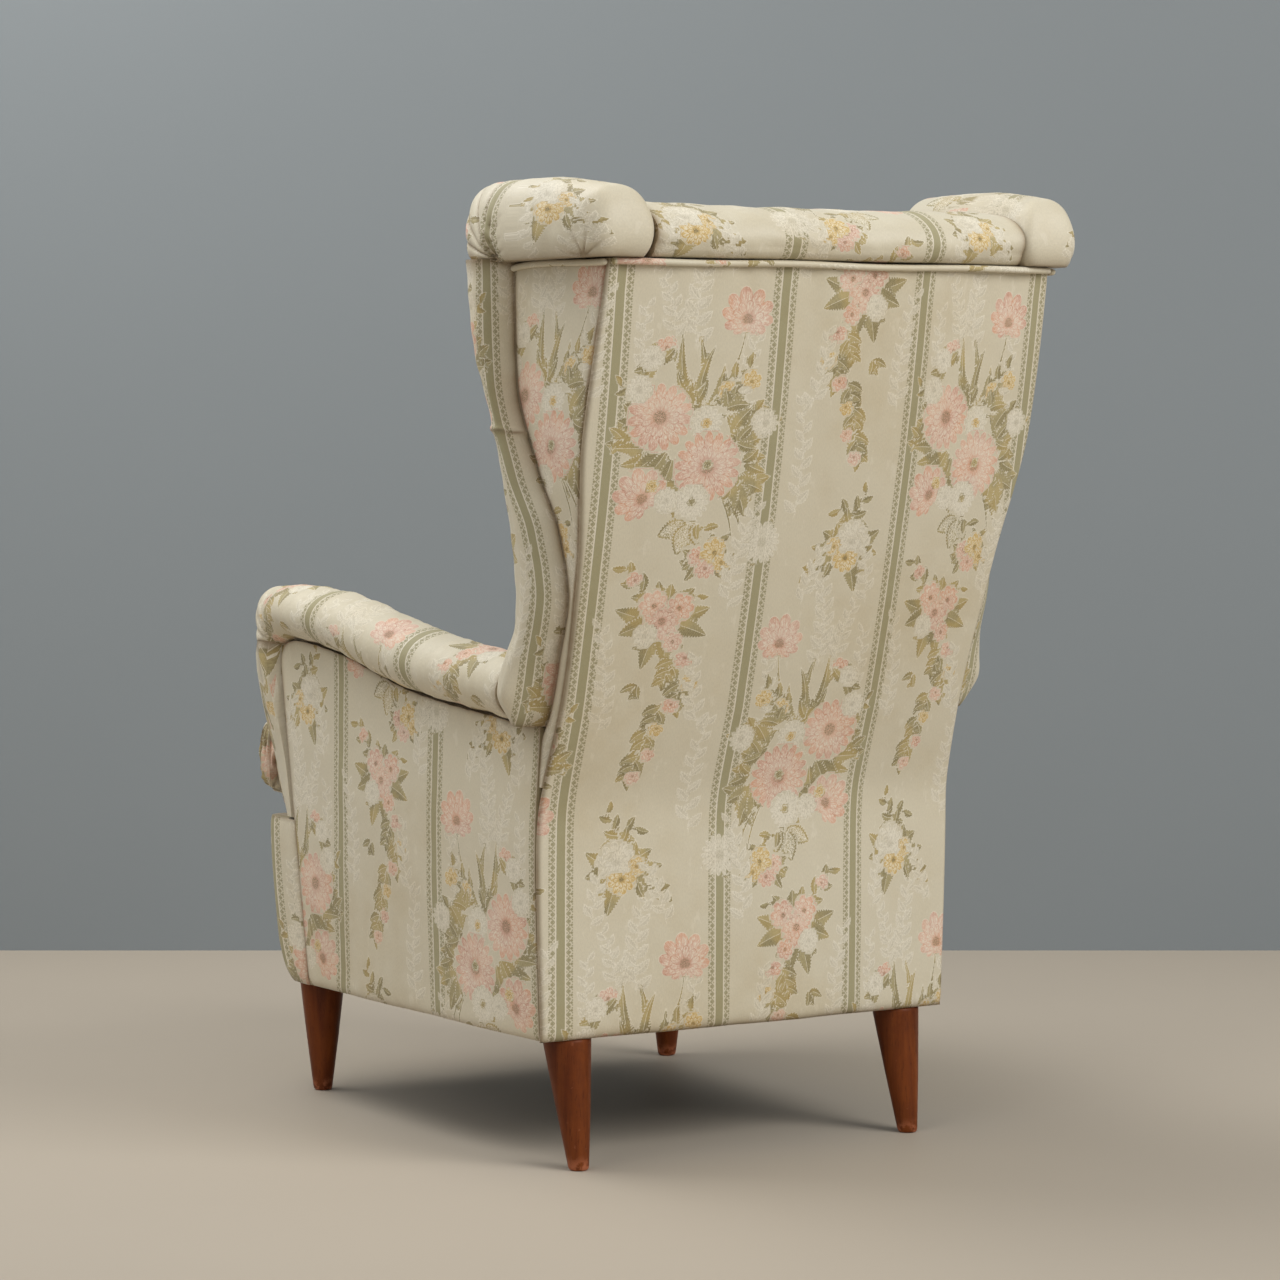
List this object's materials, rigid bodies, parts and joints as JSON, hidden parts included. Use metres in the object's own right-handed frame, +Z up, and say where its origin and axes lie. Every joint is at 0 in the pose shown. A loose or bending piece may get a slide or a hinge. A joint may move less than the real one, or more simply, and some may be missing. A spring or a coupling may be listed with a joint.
{
  "type": "wing armchair",
  "caption": "Old upholstered wing armchair with rolled arms, a loose T-shaped seat cushion and tapered wooden legs, in worn floral striped brocade.",
  "frame": {"origin": "centre of the bounding box at the floor", "axes": "+Z up, -Y the way the sitter faces, +X to the sitter's left"},
  "size_m": [0.6472, 0.9126, 1.0703],
  "materials": {
    "brocade": "ivory satin brocade with olive stripes and flowers, creased and faded",
    "lining": "matte black under-cover cloth",
    "stained_beech": "reddish-brown stained beech, satin, worn at the edges",
    "raw_beech": "bare sawn beech",
    "webbing_rubber": "matte rubberised webbing",
    "bolt_steel": "plain steel"
  },
  "bodies": {
    "root": {"leg_front_left": "stained_beech", "leg_front_right": "stained_beech", "leg_rear_left": "stained_beech", "leg_rear_right": "stained_beech", "leg_bolt_front_left": "bolt_steel", "leg_bolt_front_right": "bolt_steel", "leg_bolt_rear_left": "bolt_steel", "leg_bolt_rear_right": "bolt_steel", "seat_rail_left": "raw_beech", "seat_rail_right": "raw_beech", "seat_rail_front": "raw_beech", "seat_rail_back": "raw_beech", "back_post_left": "raw_beech", "back_post_right": "raw_beech", "back_rail_top": "raw_beech", "back_rail_lower": "raw_beech", "corner_block_front_left": "raw_beech", "corner_block_front_right": "raw_beech", "corner_block_rear_left": "raw_beech", "corner_block_rear_right": "raw_beech", "arm_post_left": "raw_beech", "arm_post_right": "raw_beech", "arm_rail_left": "raw_beech", "arm_rail_right": "raw_beech", "wing_board_left": "raw_beech", "wing_board_right": "raw_beech", "seat_strap_1": "webbing_rubber", "seat_strap_2": "webbing_rubber", "seat_strap_3": "webbing_rubber", "seat_strap_4": "webbing_rubber", "seat_strap_5": "webbing_rubber", "back_strap_1": "webbing_rubber", "back_strap_2": "webbing_rubber", "back_strap_3": "webbing_rubber", "back_strap_4": "webbing_rubber", "back_strap_5": "webbing_rubber", "outer_back_cover": "brocade", "outer_wing_cover_left": "brocade", "outer_wing_cover_right": "brocade", "outer_arm_cover_left": "brocade", "outer_arm_cover_right": "brocade", "arm_pad_left": "brocade", "arm_pad_right": "brocade", "wing_pad_left": "brocade", "wing_pad_right": "brocade", "inside_back_pad": "brocade", "seat_deck_pad": "brocade", "seat_cushion": "brocade", "front_apron": "brocade", "back_welt": "brocade", "wing_welt_left": "brocade", "wing_welt_right": "brocade", "under_cover": "lining"}
  },
  "joints": []
}
